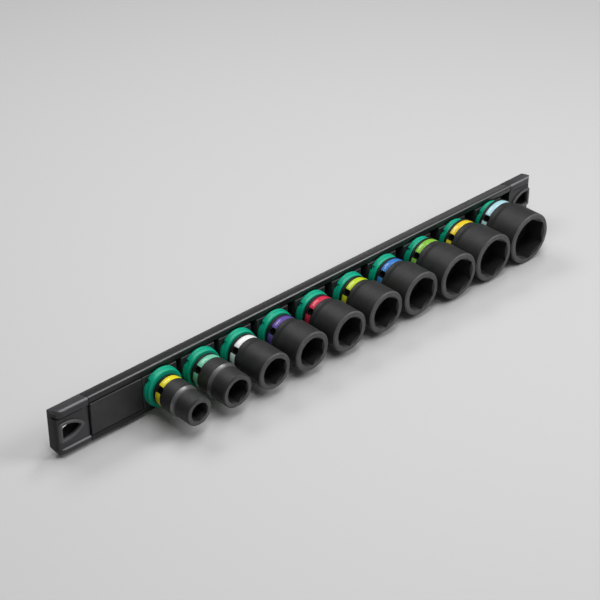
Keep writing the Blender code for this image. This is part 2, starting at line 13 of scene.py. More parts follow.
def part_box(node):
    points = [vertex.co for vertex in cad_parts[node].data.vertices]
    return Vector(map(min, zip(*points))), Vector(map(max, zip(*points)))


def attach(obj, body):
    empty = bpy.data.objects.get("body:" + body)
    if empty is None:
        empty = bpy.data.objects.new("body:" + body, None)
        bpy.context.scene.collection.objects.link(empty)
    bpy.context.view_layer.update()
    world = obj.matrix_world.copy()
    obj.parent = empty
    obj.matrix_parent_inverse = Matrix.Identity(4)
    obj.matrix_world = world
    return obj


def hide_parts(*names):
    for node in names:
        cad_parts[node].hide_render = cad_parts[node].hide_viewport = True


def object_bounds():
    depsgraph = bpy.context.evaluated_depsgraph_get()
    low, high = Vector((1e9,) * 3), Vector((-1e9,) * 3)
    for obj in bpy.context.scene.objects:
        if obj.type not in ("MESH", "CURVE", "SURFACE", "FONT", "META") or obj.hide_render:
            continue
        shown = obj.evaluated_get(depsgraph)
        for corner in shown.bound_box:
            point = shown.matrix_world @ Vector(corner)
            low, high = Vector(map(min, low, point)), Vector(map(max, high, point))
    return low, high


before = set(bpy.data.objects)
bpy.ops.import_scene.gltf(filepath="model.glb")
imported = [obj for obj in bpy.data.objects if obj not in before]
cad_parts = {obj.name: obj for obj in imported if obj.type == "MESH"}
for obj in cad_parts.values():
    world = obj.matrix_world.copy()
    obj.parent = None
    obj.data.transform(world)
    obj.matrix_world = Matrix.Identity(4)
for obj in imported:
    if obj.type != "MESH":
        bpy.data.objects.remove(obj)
cad_low, cad_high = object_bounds()
bpy.ops.object.select_all(action="DESELECT")

# The rail is one aluminium extrusion, black anodised, with a T slot in its front for the clips.
# Its sides widen from the wall to a rounded ridge, and pockets in its back hold the magnets.
MM = 0.001
rail_low, rail_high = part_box("rail")
RAIL_LENGTH = rail_high.x - rail_low.x
RAIL_FRONT = -rail_low.y
RAIL_FLOOR = 3.4 * MM
LIP_BACK = 5.7 * MM
RIDGE_HALF = 14.8 * MM
BACK_HALF = 12.2 * MM
MOUTH_HALF = 10.3 * MM
SLOT_HALF = 11.9 * MM
RIDGE_RADIUS = 1.6 * MM
CREST_WIDTH = 1.1 * MM
CREST_PAINTED_HIGHLIGHT = (0.18, 0.18, 0.185)
MOUTH_EDGE = 0.9 * MM
SMALL_EDGE = 0.25 * MM
SMOOTH_ANGLE = math.radians(35)
FLAT_ANGLE = math.radians(1)
NOISE_LOW = 0.3
NOISE_HIGH = 0.7
RAIL_COLOUR = (0.012, 0.012, 0.013)
RAIL_DARK = (0.010, 0.010, 0.011)
RAIL_LIGHT = (0.015, 0.015, 0.016)
RAIL_SPECULAR = 0.42
RAIL_GRAIN = 0.015 * MM
CREST_ROUGHNESS = 0.25
MAGNETS = 4
MAGNET_FIT = 0.3 * MM
TINY = 0.01 * MM
STRAIGHT = 0.999


def start_edit(piece):
    """Opens a piece in edit mode, with all of it selected."""
    bpy.ops.object.select_all(action="DESELECT")
    bpy.context.view_layer.objects.active = piece
    piece.select_set(True)
    bpy.ops.object.mode_set(mode="EDIT")
    bpy.ops.mesh.select_all(action="SELECT")


def end_edit():
    """Merges doubled points, turns every face outwards and leaves edit mode."""
    bpy.ops.mesh.select_all(action="SELECT")
    bpy.ops.mesh.remove_doubles(threshold=TINY / 10)
    bpy.ops.mesh.normals_make_consistent(inside=False)
    bpy.ops.object.mode_set(mode="OBJECT")


def choose(kind, passes):
    """In edit mode, selects the points, edges or faces that pass a test of their middle and themselves."""
    bpy.ops.mesh.select_mode(type=kind)
    bpy.ops.mesh.select_all(action="DESELECT")
    shape = bmesh.from_edit_mesh(bpy.context.edit_object.data)
    for element in {"VERT": shape.verts, "EDGE": shape.edges, "FACE": shape.faces}[kind]:
        points = [element.co] if kind == "VERT" else [corner.co for corner in element.verts]
        if passes(sum(points, Vector()) / len(points), element):
            element.select_set(True)
    shape.select_flush_mode()
    bmesh.update_edit_mesh(bpy.context.edit_object.data)


def near(value, target):
    """True where two lengths are the same."""
    return abs(value - target) < TINY


def runs_along(edge, axis):
    """True for an edge that is parallel to an axis, 0, 1 or 2."""
    span = edge.verts[0].co - edge.verts[1].co
    return span.length > TINY and abs(span[axis]) > STRAIGHT * span.length


def bar_from_section(name, length, half_height, back, front, cuts_up, cuts_off, is_gap):
    """A bar along X: a plane of its section is cut into strips, its gaps go, and it is extruded."""
    bpy.ops.mesh.primitive_plane_add(size=1, location=(0, 0, (back + front) / 2),
                                     rotation=(0, math.radians(90), 0))
    bar = bpy.context.object
    bar.name = name
    bar.scale = (front - back, 2 * half_height, 1)
    bpy.ops.object.transform_apply(location=True, rotation=True, scale=True)
    start_edit(bar)
    for cut in cuts_up:
        for side in (cut, -cut):
            bpy.ops.mesh.select_all(action="SELECT")
            bpy.ops.mesh.bisect(plane_co=(0, side, 0), plane_no=(0, 1, 0))
    for cut in cuts_off:
        bpy.ops.mesh.select_all(action="SELECT")
        bpy.ops.mesh.bisect(plane_co=(0, 0, cut), plane_no=(0, 0, 1))
    choose("FACE", lambda middle, face: is_gap(abs(middle.y), middle.z))
    bpy.ops.mesh.delete(type="FACE")
    bpy.ops.mesh.select_all(action="SELECT")
    bpy.ops.mesh.extrude_region_move(TRANSFORM_OT_translate={"value": (length, 0, 0)})
    bpy.ops.mesh.select_all(action="SELECT")
    bpy.ops.transform.translate(value=(-length / 2, 0, 0))
    bpy.ops.mesh.normals_make_consistent(inside=False)
    bpy.ops.mesh.dissolve_limited(angle_limit=FLAT_ANGLE)
    return bar


def round_edges(passes, radius, steps):
    """In edit mode, rounds the edges that pass the test."""
    choose("EDGE", passes)
    bpy.ops.mesh.bevel(offset=radius, segments=steps, affect="EDGES")


def apply_modifier(piece, modifier):
    """Applies one modifier of a piece."""
    bpy.ops.object.select_all(action="DESELECT")
    bpy.context.view_layer.objects.active = piece
    piece.select_set(True)
    bpy.ops.object.modifier_apply(modifier=modifier.name)


def soften(piece, width, steps=2, angle=40):
    """Eases every sharp edge of a piece with a Bevel modifier."""
    bevel = piece.modifiers.new("eased edges", "BEVEL")
    bevel.width = width
    bevel.segments = steps
    bevel.limit_method = "ANGLE"
    bevel.angle_limit = math.radians(angle)
    bevel.harden_normals = False
    apply_modifier(piece, bevel)


def cut_with(piece, cutter, operation="DIFFERENCE"):
    """Cuts a piece with another, or joins them, and removes the other."""
    boolean = piece.modifiers.new("cut", "BOOLEAN")
    boolean.operation = operation
    boolean.solver = "EXACT"
    boolean.object = cutter
    apply_modifier(piece, boolean)
    bpy.data.objects.remove(cutter)


def block(size, middle, turn=0.0):
    """A box to cut or join with, turned about the local Z axis through the origin."""
    bpy.ops.mesh.primitive_cube_add(size=1)
    box = bpy.context.object
    box.scale = size
    box.location = Matrix.Rotation(turn, 3, "Z") @ Vector(middle)
    box.rotation_euler.z = turn
    bpy.ops.object.transform_apply(location=True, rotation=True, scale=True)
    return box


def stand_up(piece, x=0.0):
    """Stands a piece up against the wall at its place along the rail."""
    bpy.ops.object.select_all(action="DESELECT")
    bpy.context.view_layer.objects.active = piece
    piece.select_set(True)
    piece.location.x = x
    piece.rotation_euler.x = math.radians(90)
    bpy.ops.object.transform_apply(location=True, rotation=True, scale=True)
    bpy.ops.object.shade_smooth_by_angle(angle=SMOOTH_ANGLE)


def place(piece, finish, node, body):
    """Gives a finished piece its material and puts it in the place of its CAD node."""
    piece.data.materials.clear()
    piece.data.materials.append(finish)
    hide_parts(node)
    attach(piece, body)


def new_finish(name, colour, roughness, metallic=0.0):
    """A Principled material with its colour, roughness and share of metal."""
    finish = bpy.data.materials.new(name)
    finish.use_nodes = True
    shader = finish.node_tree.nodes["Principled BSDF"]
    shader.inputs["Base Color"].default_value = (*colour, 1)
    shader.inputs["Roughness"].default_value = roughness
    shader.inputs["Metallic"].default_value = metallic
    return finish


def set_specular(finish, level):
    """Strength of a material's plain reflection."""
    finish.node_tree.nodes["Principled BSDF"].inputs["Specular IOR Level"].default_value = level


def add_node(finish, kind, values=None, **settings):
    """A node of a material, with its settings and input values."""
    node = finish.node_tree.nodes.new(kind)
    for key, value in settings.items():
        setattr(node, key, value)
    for key, value in (values or {}).items():
        node.inputs[key].default_value = value
    return node


def noise_on(finish, scale, stretch=(1, 1, 1), detail=3.0):
    """Noise in Object coordinates, stretched along the axes; returns its Fac socket."""
    links = finish.node_tree.links
    where = add_node(finish, "ShaderNodeTexCoord")
    mapping = add_node(finish, "ShaderNodeMapping", {"Scale": stretch})
    noise = add_node(finish, "ShaderNodeTexNoise", {"Scale": scale, "Detail": detail})
    links.new(where.outputs["Object"], mapping.inputs["Vector"])
    links.new(mapping.outputs["Vector"], noise.inputs["Vector"])
    return noise.outputs["Fac"]


def spread(finish, source, low, high):
    """Maps a noise's middle range onto two values; returns the result's socket."""
    ends = {"From Min": NOISE_LOW, "From Max": NOISE_HIGH, "To Min": low, "To Max": high}
    stretch = add_node(finish, "ShaderNodeMapRange", ends)
    finish.node_tree.links.new(source, stretch.inputs["Value"])
    return stretch.outputs["Result"]


def vary_colour(finish, source, dark, light):
    """Base colour that wanders between two colours with a noise."""
    mix = add_node(finish, "ShaderNodeMix", {}, data_type="RGBA")
    mix.inputs["A"].default_value = (*dark, 1)
    mix.inputs["B"].default_value = (*light, 1)
    links = finish.node_tree.links
    links.new(spread(finish, source, 0, 1), mix.inputs["Factor"])
    links.new(mix.outputs["Result"], finish.node_tree.nodes["Principled BSDF"].inputs["Base Color"])


def vary_roughness(finish, source, low, high):
    """Roughness that wanders between two values with a noise."""
    shader = finish.node_tree.nodes["Principled BSDF"]
    finish.node_tree.links.new(spread(finish, source, low, high), shader.inputs["Roughness"])


def add_relief(finish, source, height, strength=1.0):
    """Fine relief from a noise, through a Bump node; height is in metres."""
    shader = finish.node_tree.nodes["Principled BSDF"]
    bump = add_node(finish, "ShaderNodeBump", {"Strength": strength, "Distance": height})
    finish.node_tree.links.new(source, bump.inputs["Height"])
    finish.node_tree.links.new(bump.outputs["Normal"], shader.inputs["Normal"])


def band(finish, axis, start, full, either_side=True):
    """A mask that rises from 0 to 1 as the place along an axis goes from start to full.

    The place counts as a distance from the middle, unless it is told not to be taken on either side.
    """
    links = finish.node_tree.links
    where = add_node(finish, "ShaderNodeTexCoord")
    apart = add_node(finish, "ShaderNodeSeparateXYZ")
    distance = add_node(finish, "ShaderNodeMath", {1: 0.0}, operation="ABSOLUTE" if either_side else "ADD")
    rise = add_node(finish, "ShaderNodeMapRange", {"From Min": start, "From Max": full},
                    interpolation_type="SMOOTHSTEP")
    links.new(where.outputs["Object"], apart.inputs["Vector"])
    links.new(apart.outputs[axis], distance.inputs[0])
    links.new(distance.outputs["Value"], rise.inputs["Value"])
    return rise.outputs["Result"]


def both(finish, first, second):
    """Product of two masks."""
    product = add_node(finish, "ShaderNodeMath", {}, operation="MULTIPLY")
    finish.node_tree.links.new(first, product.inputs[0])
    finish.node_tree.links.new(second, product.inputs[1])
    return product.outputs["Value"]


def lay_over(finish, socket_name, mask, value):
    """Lays a colour or a roughness over what a shader's socket has already, where a mask is 1."""
    links = finish.node_tree.links
    target = finish.node_tree.nodes["Principled BSDF"].inputs[socket_name]
    is_colour = socket_name == "Base Color"
    mix = add_node(finish, "ShaderNodeMix", {}, data_type="RGBA" if is_colour else "FLOAT")
    sockets = [socket for socket in mix.inputs if socket.enabled]
    outputs = [socket for socket in mix.outputs if socket.enabled]
    links.new(mask, sockets[0])
    sockets[1].default_value = target.default_value
    if target.is_linked:
        links.new(target.links[0].from_socket, sockets[1])
    sockets[2].default_value = (*value, 1) if is_colour else value
    links.new(outputs[0], target)


rail_finish = new_finish("anodised_rail", RAIL_COLOUR, 0.34)
set_specular(rail_finish, RAIL_SPECULAR)
streaks = noise_on(rail_finish, 900, (0.012, 1, 1), 4)
vary_colour(rail_finish, noise_on(rail_finish, 60, (0.3, 1, 1)), RAIL_DARK, RAIL_LIGHT)
vary_roughness(rail_finish, streaks, 0.26, 0.40)
add_relief(rail_finish, streaks, RAIL_GRAIN)
# Painted highlight: a light grey, and less rough, along the top edge of each ridge, for the light line the
# lamps draw there.
crest = both(rail_finish, band(rail_finish, "Z", RIDGE_HALF - CREST_WIDTH, RIDGE_HALF - CREST_WIDTH / 2),
             band(rail_finish, "Y", RAIL_FRONT - CREST_WIDTH, RAIL_FRONT - CREST_WIDTH / 2))
lay_over(rail_finish, "Base Color", crest, CREST_PAINTED_HIGHLIGHT)
lay_over(rail_finish, "Roughness", crest, CREST_ROUGHNESS)

rail = bar_from_section("rail_extrusion", RAIL_LENGTH, RIDGE_HALF, 0, RAIL_FRONT, [MOUTH_HALF, SLOT_HALF],
                        [RAIL_FLOOR, LIP_BACK],
                        lambda up, off: (up < MOUTH_HALF and off > RAIL_FLOOR)
                        or (up < SLOT_HALF and RAIL_FLOOR < off < LIP_BACK))
choose("VERT", lambda middle, point: near(middle.z, 0) and near(abs(middle.y), RIDGE_HALF))
bpy.ops.transform.resize(value=(1, BACK_HALF / RIDGE_HALF, 1), center_override=(0, 0, 0))
round_edges(lambda middle, edge: runs_along(edge, 0) and near(middle.z, RAIL_FRONT)
            and near(abs(middle.y), RIDGE_HALF), RIDGE_RADIUS, 8)
round_edges(lambda middle, edge: runs_along(edge, 0) and near(middle.z, RAIL_FRONT)
            and near(abs(middle.y), MOUTH_HALF), MOUTH_EDGE, 3)
end_edit()
soften(rail, SMALL_EDGE, 2, 50)
for count in range(1, MAGNETS + 1):
    low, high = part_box(f"magnet_{count}")
    middle = (low + high) / 2
    size = high - low
    pocket = block((size.x + 2 * MAGNET_FIT, size.z + 2 * MAGNET_FIT, 2 * (size.y + MAGNET_FIT)),
                   (middle.x, 0, 0))
    cut_with(rail, pocket)
stand_up(rail)
place(rail, rail_finish, "rail", "rail")

# Four bar magnets lie flush in the back of the rail and hold it wherever there is flat steel.
# They are sintered bars, nickel plated, with ground edges, and are glued into their pockets.
MAGNET_EDGE = 0.35 * MM
NICKEL = (0.46, 0.45, 0.43)
NICKEL_DARK = (0.38, 0.375, 0.36)
NICKEL_LIGHT = (0.52, 0.51, 0.49)

magnet_finish = new_finish("nickel_plate", NICKEL, 0.3, 1.0)
vary_colour(magnet_finish, noise_on(magnet_finish, 160), NICKEL_DARK, NICKEL_LIGHT)
vary_roughness(magnet_finish, noise_on(magnet_finish, 700, (0.1, 1, 1)), 0.22, 0.42)
for count in range(1, MAGNETS + 1):
    low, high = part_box(f"magnet_{count}")
    middle = (low + high) / 2
    size = high - low
    magnet = block((size.x, size.z, size.y), (middle.x, 0, size.y / 2))
    magnet.name = f"bar_magnet_{count}"
    soften(magnet, MAGNET_EDGE, 3)
    stand_up(magnet)
    place(magnet, magnet_finish, f"magnet_{count}", "rail")

# The end caps are moulded in grey plastic with a fine grain and a rounded nose. They carry on the
# rail's ridges, a groove sets the sunk pad off from the upper one, and a drop-shaped eye with a
# raised rim lets the rail hang on a screw. Two pegs hold each cap in the rail's lips.
CAP_START = RAIL_LENGTH / 2 + 0.3 * MM
CAP_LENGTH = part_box("end_cap_right")[1].x - CAP_START
CAP_CORNER = 3.0 * MM
CAP_EDGE = 0.8 * MM
NOSE_RADIUS = 5.0 * MM
BROW = 0.8 * MM
PAD_FRONT = 7.9 * MM
RIM_FRONT = 9.0 * MM
RIM_WIDTH = 1.8 * MM
RIM_EDGE = 0.85 * MM
EYE_LENGTH = 12.0 * MM
EYE_HEIGHT = 9.1 * MM
EYE_SIDE_RADIUS = 14.3 * MM
EYE_END_WALL = 3.2 * MM
EYE_MIDDLE_SHARE = 0.4
EYE_ROUNDING = 18
EYE_LIP = 2.2 * MM
EYE_UNDERCUT = 0.1 * MM
GROOVE_WIDTH = 0.8 * MM
GROOVE_DEPTH = 1.3 * MM
GROOVE_RUN = 18.0 * MM
NOTCH_LENGTH = 3.2 * MM
NOTCH_HEIGHT = 2.2 * MM
NOTCH_TAPER = 0.1
PEG_RADIUS = 0.65 * MM
PEG_LENGTH = 8.0 * MM
PEG_UP = 12.55 * MM
PEG_OFF = 7.3 * MM
OVERRUN = 2.0 * MM
CAP_GREY = (0.026, 0.025, 0.028)
CAP_DARK = (0.022, 0.021, 0.024)
CAP_LIGHT = (0.031, 0.029, 0.034)
CAP_GRAIN = 0.03 * MM
CAP_CREST_WIDTH = 1.6 * CREST_WIDTH
CAP_CREST_PAINTED_HIGHLIGHT = (0.17, 0.164, 0.174)
LIP_PAINTED_HIGHLIGHT = (0.20, 0.193, 0.205)
LIP_START = 1.1 * MM
LIP_FULL = 0.6 * MM
BEAD_PAINTED_HIGHLIGHT = (0.090, 0.088, 0.092)
BEAD_START = 0.05 * MM
BEAD_FULL = 0.25 * MM
BEAD_CLEAR = 0.5 * MM
SHADE_COLOUR = (0.006, 0.006, 0.006)
SHADE_ROUGHNESS = 0.7
SHADE_START = 0.5 * MM
SHADE_FULL = 1.3 * MM
EYE_PAINTED_SHADE = (0.003, 0.003, 0.003)
HOLLOW_DARK = (0.002, 0.002, 0.002)
HOLLOW_LIGHT = (0.004, 0.004, 0.004)
HOLLOW_SPECULAR = 0.08
WALL_LEAN = 0.5


def drop_prism(wider, back, front):
    """A prism of the eye's drop shape, widened all round: two arcs and a blunt side, corners rounded.

    The points of a circle move out to the nearest of the three sides, and a high power of the
    distances, the rounding, blends the sides into each other at the corners.
    """
    radius = EYE_SIDE_RADIUS + wider
    sink = EYE_SIDE_RADIUS - EYE_HEIGHT / 2
    blunt = CAP_LENGTH - EYE_END_WALL
    arcs_at = blunt - EYE_LENGTH + math.sqrt(EYE_SIDE_RADIUS ** 2 - sink ** 2)
    middle = blunt - EYE_MIDDLE_SHARE * EYE_LENGTH
    bpy.ops.mesh.primitive_circle_add(vertices=128, radius=1, fill_type="NGON", location=(0, 0, 0))
    drop = bpy.context.object
    start_edit(drop)
    for point in bmesh.from_edit_mesh(drop.data).verts:
        way = point.co.normalized()
        reaches = []
        for side in (1, -1):
            centre = Vector((arcs_at - middle, side * -sink, 0))
            along = way.dot(centre)
            reaches.append(along + math.sqrt(along ** 2 - centre.length_squared + radius ** 2))
        if way.x > 0:
            reaches.append((blunt + wider - middle) / way.x)
        reach = sum(one ** -EYE_ROUNDING for one in reaches) ** (-1 / EYE_ROUNDING)
        point.co = Vector((middle, 0, back)) + way * reach
    bmesh.update_edit_mesh(drop.data)
    bpy.ops.mesh.extrude_region_move(TRANSFORM_OT_translate={"value": (0, 0, front - back)})
    end_edit()
    return drop


cap_finish = new_finish("grained_grey_plastic", CAP_GREY, 0.5)
vary_colour(cap_finish, noise_on(cap_finish, 90), CAP_DARK, CAP_LIGHT)
vary_roughness(cap_finish, noise_on(cap_finish, 260), 0.34, 0.48)
add_relief(cap_finish, noise_on(cap_finish, 2600), CAP_GRAIN)
# Painted highlight: a light grey along the top edge of each ridge, as on the rail.
crest = both(cap_finish, band(cap_finish, "Z", RIDGE_HALF - CAP_CREST_WIDTH, RIDGE_HALF - CREST_WIDTH / 2),
             band(cap_finish, "Y", RAIL_FRONT - CAP_CREST_WIDTH, RAIL_FRONT - CREST_WIDTH / 2))
lay_over(cap_finish, "Base Color", crest, CAP_CREST_PAINTED_HIGHLIGHT)
# Painted highlight: a light grey along the mouth edge of the lower bar only, which faces up into the light.
lip = both(cap_finish, band(cap_finish, "Z", MOUTH_HALF + LIP_START, MOUTH_HALF + LIP_FULL),
           both(cap_finish, band(cap_finish, "Y", RAIL_FRONT - CREST_WIDTH, RAIL_FRONT - CREST_WIDTH / 2),
                band(cap_finish, "Z", 0, -MM, False)))
lay_over(cap_finish, "Base Color", lip, LIP_PAINTED_HIGHLIGHT)
pad_half = MOUTH_HALF - BROW
# Painted highlight: a lighter grey on the eye's raised rim.
bead = both(cap_finish, band(cap_finish, "Y", PAD_FRONT + BEAD_START, PAD_FRONT + BEAD_FULL),
            band(cap_finish, "Z", pad_half - BEAD_CLEAR, pad_half - 2 * BEAD_CLEAR))
lay_over(cap_finish, "Base Color", bead, BEAD_PAINTED_HIGHLIGHT)
# Painted shade: near black, and rougher, on the faces of the cap that lie deeper than the pad between the
# bars: the eye's walls, the back, and the end face near the wall.
inside = both(cap_finish, band(cap_finish, "Y", PAD_FRONT - SHADE_START, PAD_FRONT - SHADE_FULL),
              band(cap_finish, "Z", BACK_HALF, BACK_HALF - SHADE_START))
lay_over(cap_finish, "Base Color", inside, SHADE_COLOUR)
lay_over(cap_finish, "Roughness", inside, SHADE_ROUGHNESS)
# Painted shade: a near-black plastic for the walls of the eye behind its front edge.
eye_painted_shade_finish = new_finish("shaded_plastic", EYE_PAINTED_SHADE, 0.85)
set_specular(eye_painted_shade_finish, HOLLOW_SPECULAR)
vary_colour(eye_painted_shade_finish, noise_on(eye_painted_shade_finish, 90), HOLLOW_DARK, HOLLOW_LIGHT)
vary_roughness(eye_painted_shade_finish, noise_on(eye_painted_shade_finish, 260), 0.75, 0.95)
add_relief(eye_painted_shade_finish, noise_on(eye_painted_shade_finish, 2600), CAP_GRAIN)
for side, label in ((1, "right"), (-1, "left")):
    cap = bar_from_section(f"cap_{label}", CAP_LENGTH + CAP_CORNER, RIDGE_HALF, 0, RAIL_FRONT, [MOUTH_HALF],
                           [PAD_FRONT], lambda up, off: up < MOUTH_HALF and off > PAD_FRONT)
    bpy.ops.mesh.select_all(action="SELECT")
    bpy.ops.transform.translate(value=((CAP_LENGTH + CAP_CORNER) / 2, 0, 0))
    choose("VERT", lambda middle, point: near(middle.z, 0) and near(abs(middle.y), RIDGE_HALF))
    bpy.ops.transform.resize(value=(1, BACK_HALF / RIDGE_HALF, 1), center_override=(0, 0, 0))
    choose("VERT", lambda middle, point: near(middle.y, MOUTH_HALF))
    bpy.ops.transform.translate(value=(0, -BROW, 0))
    round_edges(lambda middle, edge: runs_along(edge, 0) and near(middle.z, RAIL_FRONT)
                and near(abs(middle.y), RIDGE_HALF), RIDGE_RADIUS, 8)
    round_edges(lambda middle, edge: runs_along(edge, 0) and near(middle.z, RAIL_FRONT)
                and (near(middle.y, pad_half) or near(middle.y, -MOUTH_HALF)), MOUTH_EDGE, 3)
    end_edit()
    plan = block((2 * CAP_LENGTH, 2 * RIDGE_HALF, 4 * RAIL_FRONT), (0, 0, 0))
    start_edit(plan)
    round_edges(lambda middle, edge: runs_along(edge, 2), CAP_CORNER, 10)
    end_edit()
    cut_with(cap, plan, "INTERSECT")
    nose = block((2 * CAP_LENGTH, 4 * RIDGE_HALF, 2 * RAIL_FRONT), (0, 0, 0))
    start_edit(nose)
    round_edges(lambda middle, edge: runs_along(edge, 1) and near(middle.x, CAP_LENGTH)
                and near(middle.z, RAIL_FRONT), NOSE_RADIUS, 12)
    end_edit()
    cut_with(cap, nose, "INTERSECT")
    soften(cap, CAP_EDGE, 4, 50)
    rim = drop_prism(RIM_WIDTH, 0, RIM_FRONT)
    cut_with(rim, drop_prism(0, -OVERRUN, RIM_FRONT + OVERRUN))
    soften(rim, RIM_EDGE, 5, 60)
    cut_with(cap, drop_prism(RIM_WIDTH / 2, -OVERRUN, RIM_FRONT + OVERRUN))
    cut_with(cap, rim, "UNION")
    eye_floor = RIM_FRONT - EYE_LIP
    cut_with(cap, drop_prism(EYE_UNDERCUT, -OVERRUN, eye_floor))
    groove_up = pad_half - GROOVE_WIDTH / 2
    groove = block((GROOVE_RUN, GROOVE_WIDTH, 2 * GROOVE_DEPTH),
                   (CAP_LENGTH - GROOVE_RUN / 2 + TINY, groove_up, PAD_FRONT))
    start_edit(groove)
    choose("VERT", lambda middle, point: middle.z < PAD_FRONT and middle.x < CAP_LENGTH - GROOVE_RUN / 2)
    bpy.ops.transform.translate(value=(0, 0, GROOVE_DEPTH + TINY))
    end_edit()
    cut_with(cap, groove)
    notch = block((2 * NOTCH_LENGTH, NOTCH_HEIGHT, RAIL_FRONT),
                  (CAP_LENGTH, groove_up, RAIL_FLOOR + RAIL_FRONT / 2))
    start_edit(notch)
    choose("VERT", lambda middle, point: middle.x < CAP_LENGTH)
    bpy.ops.transform.resize(value=(1, NOTCH_TAPER, 1), center_override=(0, groove_up, 0))
    end_edit()
    cut_with(cap, notch)
    for up in (1, -1):
        bpy.ops.mesh.primitive_cylinder_add(vertices=24, radius=PEG_RADIUS, depth=PEG_LENGTH + OVERRUN,
                                            location=((OVERRUN - PEG_LENGTH) / 2, up * PEG_UP, PEG_OFF),
                                            rotation=(0, math.radians(90), 0))
        peg = bpy.context.object
        bpy.ops.object.transform_apply(location=True, rotation=True, scale=True)
        cut_with(cap, peg, "UNION")
    start_edit(cap)
    bpy.ops.transform.resize(value=(side, 1, 1), center_override=(0, 0, 0))
    end_edit()
    eye_middle = side * (CAP_LENGTH - EYE_END_WALL - EYE_LENGTH / 2)
    # The walls of the eye behind its front edge take the near-black painted shade.
    hollow_faces = [face.index for face in cap.data.polygons
                    if abs(face.normal.z) < WALL_LEAN and face.center.z < eye_floor
                    and abs(face.center.x - eye_middle) < EYE_LENGTH / 2 + 2 * EYE_UNDERCUT
                    and abs(face.center.y) < EYE_HEIGHT / 2 + 2 * EYE_UNDERCUT]
    stand_up(cap, side * CAP_START)
    place(cap, cap_finish, f"end_cap_{label}", "rail")
    cap.data.materials.append(eye_painted_shade_finish)
    for index in hollow_faces:
        cap.data.polygons[index].material_index = 1

# The name plate and the ten clips run in the T slot. Both are moulded in black plastic with one
# section: a flange behind the lips and a face between them. The plate's face is plain.
CLIP_BACK = 3.7 * MM
CLIP_FRONT = 9.4 * MM
CLIP_HALF = 10.0 * MM
FLANGE_HALF = 11.6 * MM
FLANGE_FRONT = 5.4 * MM
CLIP_EDGE = 0.5 * MM
BORE_RADIUS = 5.3 * MM
RECESS_RADIUS = 6.7 * MM
RECESS_DEPTH = 1.8 * MM
FLANGE_EDGE = 0.15 * MM
CLIP_BLACK = (0.022, 0.021, 0.023)
CLIP_DARK = (0.018, 0.017, 0.019)
CLIP_LIGHT = (0.027, 0.026, 0.029)
CLIP_GRAIN = 0.02 * MM

clip_finish = new_finish("black_plastic", CLIP_BLACK, 0.42)
vary_colour(clip_finish, noise_on(clip_finish, 120), CLIP_DARK, CLIP_LIGHT)
vary_roughness(clip_finish, noise_on(clip_finish, 400), 0.32, 0.46)
add_relief(clip_finish, noise_on(clip_finish, 3200), CLIP_GRAIN)


def t_bar(name, length):
    """A length of the clips' section, with its front edges rounded."""
    bar = bar_from_section(name, length, FLANGE_HALF, CLIP_BACK, CLIP_FRONT, [CLIP_HALF], [FLANGE_FRONT],
                           lambda up, off: up > CLIP_HALF and off > FLANGE_FRONT)
    round_edges(lambda middle, edge: near(middle.z, CLIP_FRONT), CLIP_EDGE, 4)
    end_edit()
    soften(bar, FLANGE_EDGE, 2, 60)
    return bar


low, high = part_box("name_plate")
plate = t_bar("bare_name_plate", high.x - low.x)
stand_up(plate, (low.x + high.x) / 2)
place(plate, clip_finish, "name_plate", "rail")

low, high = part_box("clip_01")
pattern = t_bar("clip_pattern", high.x - low.x)
for radius, back, front in ((BORE_RADIUS, CLIP_BACK - OVERRUN, CLIP_FRONT + OVERRUN),
                            (RECESS_RADIUS, CLIP_BACK - OVERRUN, CLIP_BACK + RECESS_DEPTH)):
    bpy.ops.mesh.primitive_cylinder_add(vertices=64, radius=radius, depth=front - back,
                                        location=(0, 0, (front + back) / 2))
    bore = bpy.context.object
    bpy.ops.object.transform_apply(location=True, rotation=True, scale=True)
    cut_with(pattern, bore)


def copy_of(pattern, name):
    """A copy of a piece with its own mesh."""
    copy = pattern.copy()
    copy.data = pattern.data.copy()
    copy.name = name
    bpy.context.collection.objects.link(copy)
    return copy


STATIONS = 10

stations = []
for count in range(1, STATIONS + 1):
    low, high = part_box(f"clip_{count:02d}")
    stations.append((low.x + high.x) / 2)
    clip = copy_of(pattern, f"sliding_clip_{count:02d}")
    stand_up(clip, stations[-1])
    place(clip, clip_finish, f"clip_{count:02d}", f"clip_{count:02d}")
bpy.data.objects.remove(pattern)

# Each twist post is moulded in green plastic: a round collar with a wider flange behind, a square
# in front that fills a socket's drive, and a stem with a snap head that turns in the clip.
COLLAR_BACK = 9.7 * MM
FLANGE_THICKNESS = 2.0 * MM
COLLAR_FRONT = 14.0 * MM
FLANGE_RADIUS = 11.9 * MM
COLLAR_RADIUS = 11.5 * MM
STEM_RADIUS = 5.0 * MM
HEAD_RADIUS = 6.4 * MM
HEAD_BACK = 4.0 * MM
HEAD_FRONT = 5.2 * MM
SQUARE_SIDE = 9.1 * MM
SQUARE_TIP = 23.4 * MM
SQUARE_TIP_EDGE = 1.2 * MM
SQUARE_EDGE = 0.5 * MM
NOTCH_WIDTH = 2.8 * MM
NOTCH_DEPTH = 1.1 * MM
NOTCH_ANGLE = math.radians(142)
PIN_ANGLE = math.radians(145)
BALL_HEIGHT = 19.0 * MM
BALL_RADIUS = 1.25 * MM
BALL_CENTRE = 3.45 * MM
BALL_FIT = 0.15 * MM
HEAD_LEAD = 0.5 * MM
HEAD_EDGE = 0.3 * MM
HEAD_HEEL = 0.2 * MM
ARC_STEPS = 6
POST_FLANGE_EDGE = 0.25 * MM
COLLAR_EDGE = 0.5 * MM
GREEN = (0.002, 0.380, 0.230)
GREEN_DARK = (0.001, 0.355, 0.210)
GREEN_LIGHT = (0.004, 0.420, 0.260)
GREEN_SPECULAR = 0.35
POST_GRAIN = 0.015 * MM


